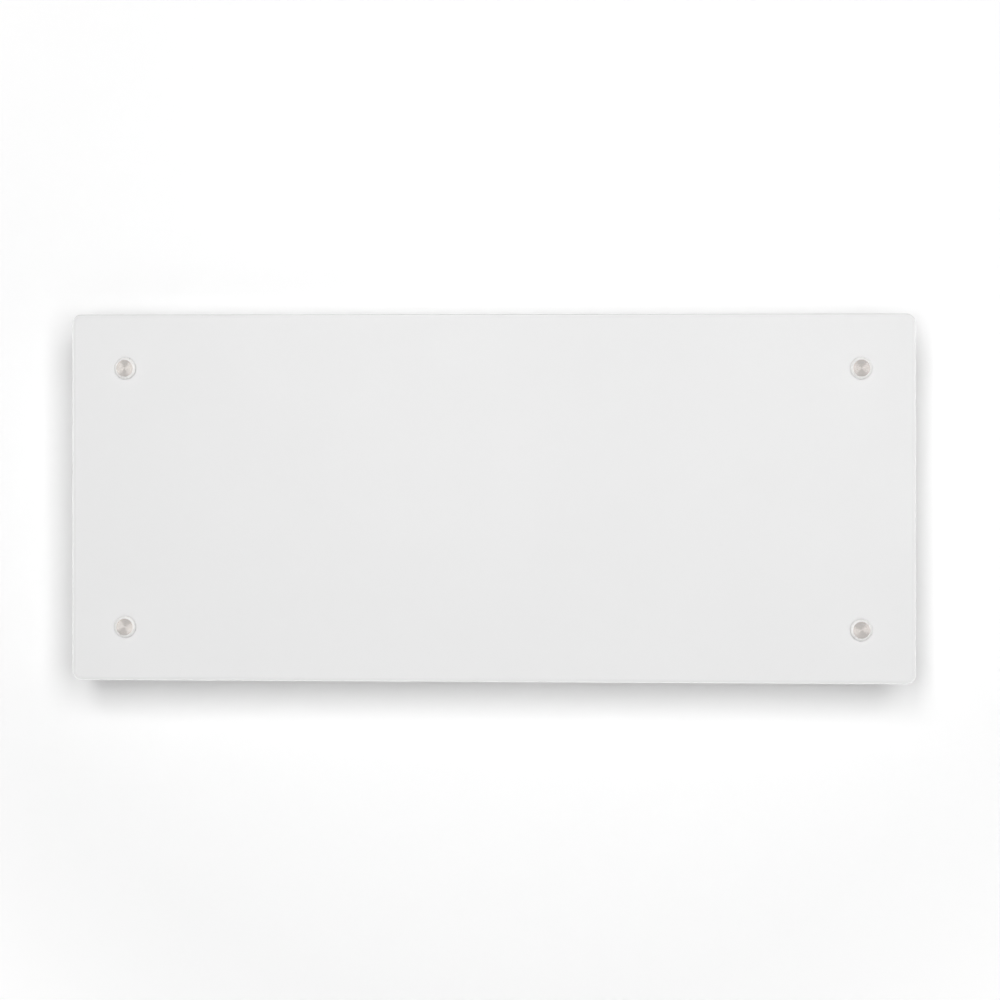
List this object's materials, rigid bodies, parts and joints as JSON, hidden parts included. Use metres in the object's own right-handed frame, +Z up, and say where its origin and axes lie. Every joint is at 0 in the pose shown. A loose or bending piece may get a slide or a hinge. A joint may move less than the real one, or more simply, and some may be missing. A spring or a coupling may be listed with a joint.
{
  "type": "electric panel heater",
  "caption": "Wall-hung electric panel heater with a white glass front on turned steel knobs, a finned element in a steel casing and a tilt-down wall bracket.",
  "frame": {"origin": "on the wall, on the back face of the bracket's cross web, behind the centre of the casing", "axes": "+X to the right seen from the front, +Y into the wall, +Z up; the glass faces -Y"},
  "size_m": [0.78, 0.0905, 0.34],
  "materials": {
    "white_glass": "white back-painted safety glass, polished",
    "stainless_steel": "turned stainless steel with fine concentric marks",
    "clear_plastic": "translucent washer plastic",
    "white_paint": "white powder coat on sheet steel",
    "white_plastic": "white moulded plastic, fine grain",
    "galvanised_steel": "galvanised sheet steel",
    "zinc_plate": "bright zinc plate",
    "aluminium": "mill-finish aluminium",
    "grey_plastic": "mid-grey moulded plastic",
    "black_plastic": "black moulded plastic",
    "smoked_plastic": "smoked window plastic, polished",
    "circuit_board": "green solder mask",
    "silicone": "red-brown silicone rubber",
    "lead_sleeve": "off-white woven glass-fibre sleeve"
  },
  "bodies": {
    "bracket": {"wall_bracket": "galvanised_steel", "catch_rivet_left": "zinc_plate", "catch_rivet_right": "zinc_plate"},
    "heater": {"hanger_left": "galvanised_steel", "hanger_right": "galvanised_steel", "striker_left": "galvanised_steel", "striker_right": "galvanised_steel", "element_stand_left": "galvanised_steel", "element_stand_right": "galvanised_steel", "cutout_shelf": "galvanised_steel", "hanger_pin_left": "zinc_plate", "hanger_pin_right": "zinc_plate", "cap_screw_left_upper": "zinc_plate", "cap_screw_left_lower": "zinc_plate", "cap_screw_right_upper": "zinc_plate", "cap_screw_right_lower": "zinc_plate", "rear_casing": "white_paint", "front_plate": "white_paint", "left_end_cap": "white_plastic", "right_end_cap": "white_plastic", "outlet_grille": "white_plastic", "control_housing": "white_plastic", "control_fascia": "white_plastic", "terminal_block": "white_plastic", "heating_element": "aluminium", "heat_shield": "aluminium", "glass_spacer_left_upper": "aluminium", "glass_spacer_left_lower": "aluminium", "glass_spacer_right_upper": "aluminium", "glass_spacer_right_lower": "aluminium", "element_bush_left": "silicone", "element_bush_right": "silicone", "element_lead_live": "lead_sleeve", "element_lead_neutral": "lead_sleeve", "supply_lead": "lead_sleeve", "thermal_cutout": "black_plastic", "display_module": "black_plastic", "supply_capacitor": "black_plastic", "switch_body": "black_plastic", "cable_gland": "black_plastic", "display_window": "smoked_plastic", "control_board": "circuit_board", "radio_module": "circuit_board", "relay": "grey_plastic", "room_sensor": "grey_plastic", "glass_panel": "white_glass", "glass_knob_left_upper": "stainless_steel", "glass_knob_left_lower": "stainless_steel", "glass_knob_right_upper": "stainless_steel", "glass_knob_right_lower": "stainless_steel", "knob_washer_left_upper": "clear_plastic", "knob_washer_left_lower": "clear_plastic", "knob_washer_right_upper": "clear_plastic", "knob_washer_right_lower": "clear_plastic"},
    "left_catch": {"catch_left": "zinc_plate"},
    "right_catch": {"catch_right": "zinc_plate"},
    "minus_button": {"button_minus": "grey_plastic"},
    "mode_button": {"button_mode": "grey_plastic"},
    "plus_button": {"button_plus": "grey_plastic"},
    "rocker": {"switch_rocker": "black_plastic"}
  },
  "joints": [
    {"name": "heater_tilt", "type": "hinge", "parent": "bracket", "child": "heater", "pos_m": [0, -0.011, -0.12], "axis": [1, 0, 0], "range_deg": [0, 20]},
    {"name": "catch_left_slide", "type": "slide", "parent": "bracket", "child": "left_catch", "axis": [0, 0, -1], "range_m": [0, 0.008]},
    {"name": "catch_right_slide", "type": "slide", "parent": "bracket", "child": "right_catch", "axis": [0, 0, -1], "range_m": [0, 0.008]},
    {"name": "button_minus_press", "type": "slide", "parent": "heater", "child": "minus_button", "axis": [0, 0, -1], "range_m": [0, 0.0008], "stiffness_N_per_m": 600, "springref_m": -0.0004},
    {"name": "button_mode_press", "type": "slide", "parent": "heater", "child": "mode_button", "axis": [0, 0, -1], "range_m": [0, 0.0008], "stiffness_N_per_m": 600, "springref_m": -0.0004},
    {"name": "button_plus_press", "type": "slide", "parent": "heater", "child": "plus_button", "axis": [0, 0, -1], "range_m": [0, 0.0008], "stiffness_N_per_m": 600, "springref_m": -0.0004},
    {"name": "switch_rock", "type": "hinge", "parent": "heater", "child": "rocker", "pos_m": [0.3684, -0.046, -0.095], "axis": [0, 1, 0], "range_deg": [0, 16]}
  ]
}
